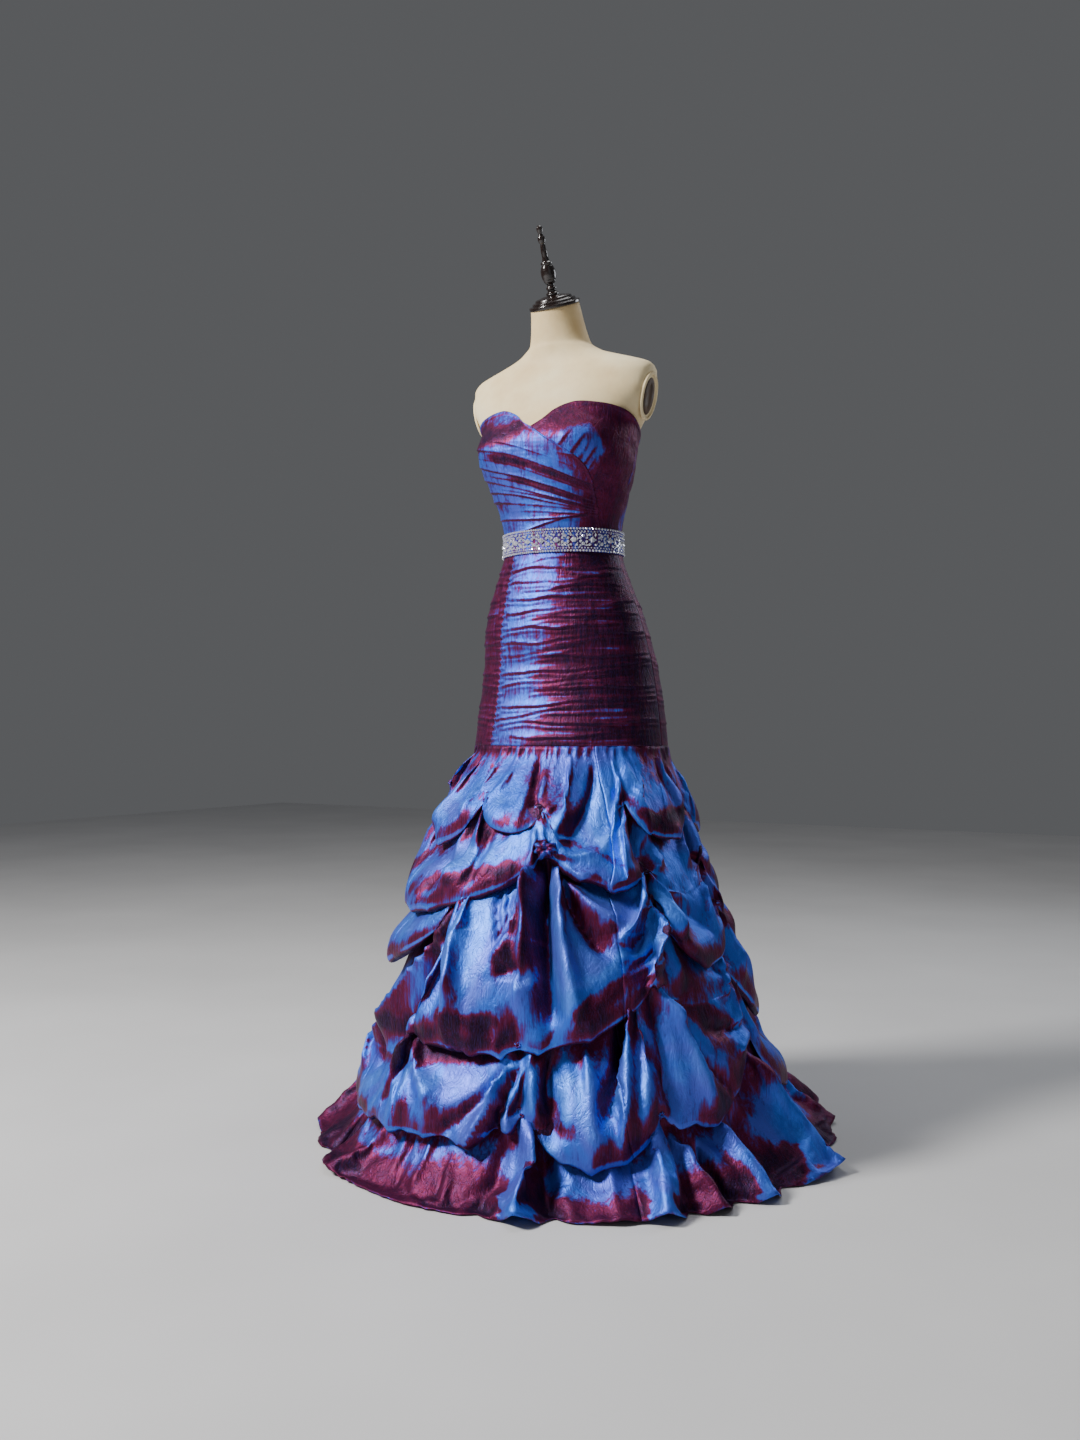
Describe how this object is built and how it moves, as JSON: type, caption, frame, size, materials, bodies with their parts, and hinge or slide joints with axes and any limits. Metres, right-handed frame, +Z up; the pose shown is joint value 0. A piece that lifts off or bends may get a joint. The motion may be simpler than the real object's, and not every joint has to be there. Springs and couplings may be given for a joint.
{
  "type": "strapless pick-up prom dress on a dress form",
  "caption": "Strapless floor-length dress with a pleated wrap bodice, stone belt, ruched hip and swagged pick-up skirt, standing on a limbless dress form.",
  "frame": {"origin": "middle of the stand base's underside, on the floor, below the pole", "axes": "+Z up along the pole; the dress faces -Y; +X is the wearer's left"},
  "size_m": [0.9508, 0.99, 1.6235],
  "materials": {
    "taffeta": "shot taffeta, azure blue one way and burgundy the other, crisp sheen",
    "belt_stones": "blue-violet band set close with clear stones",
    "form_skin": "cream linen pulled smooth over the form",
    "arm_plates": "aged satin plate",
    "turned_wood": "dark lacquer, glossy",
    "stand_metal": "satin",
    "zip_metal": "enamelled to match the cloth"
  },
  "bodies": {
    "dress": {"arm_plate_left": "arm_plates", "arm_plate_right": "arm_plates", "belt": "belt_stones", "bodice_back_left": "taffeta", "bodice_back_right": "taffeta", "bodice_front_left": "taffeta", "bodice_front_right": "taffeta", "finial": "turned_wood", "form_torso": "form_skin", "hip_back_left": "taffeta", "hip_back_right": "taffeta", "hip_front": "taffeta", "hip_side_right": "taffeta", "neck_cap": "turned_wood", "skirt_back_left": "taffeta", "skirt_back_right": "taffeta", "skirt_front": "taffeta", "skirt_side_left": "taffeta", "skirt_side_right": "taffeta", "stand_base": "stand_metal", "stand_pole": "stand_metal", "zip_slider": "zip_metal"},
    "pull_tab": {"zip_pull": "zip_metal"}
  },
  "joints": [
    {"name": "pull_tab_hinge", "type": "hinge", "parent": "dress", "child": "pull_tab", "pos_m": [0, 0.09833, 1.2007], "axis": [1, 0, 0], "range_deg": [0, 150]}
  ]
}
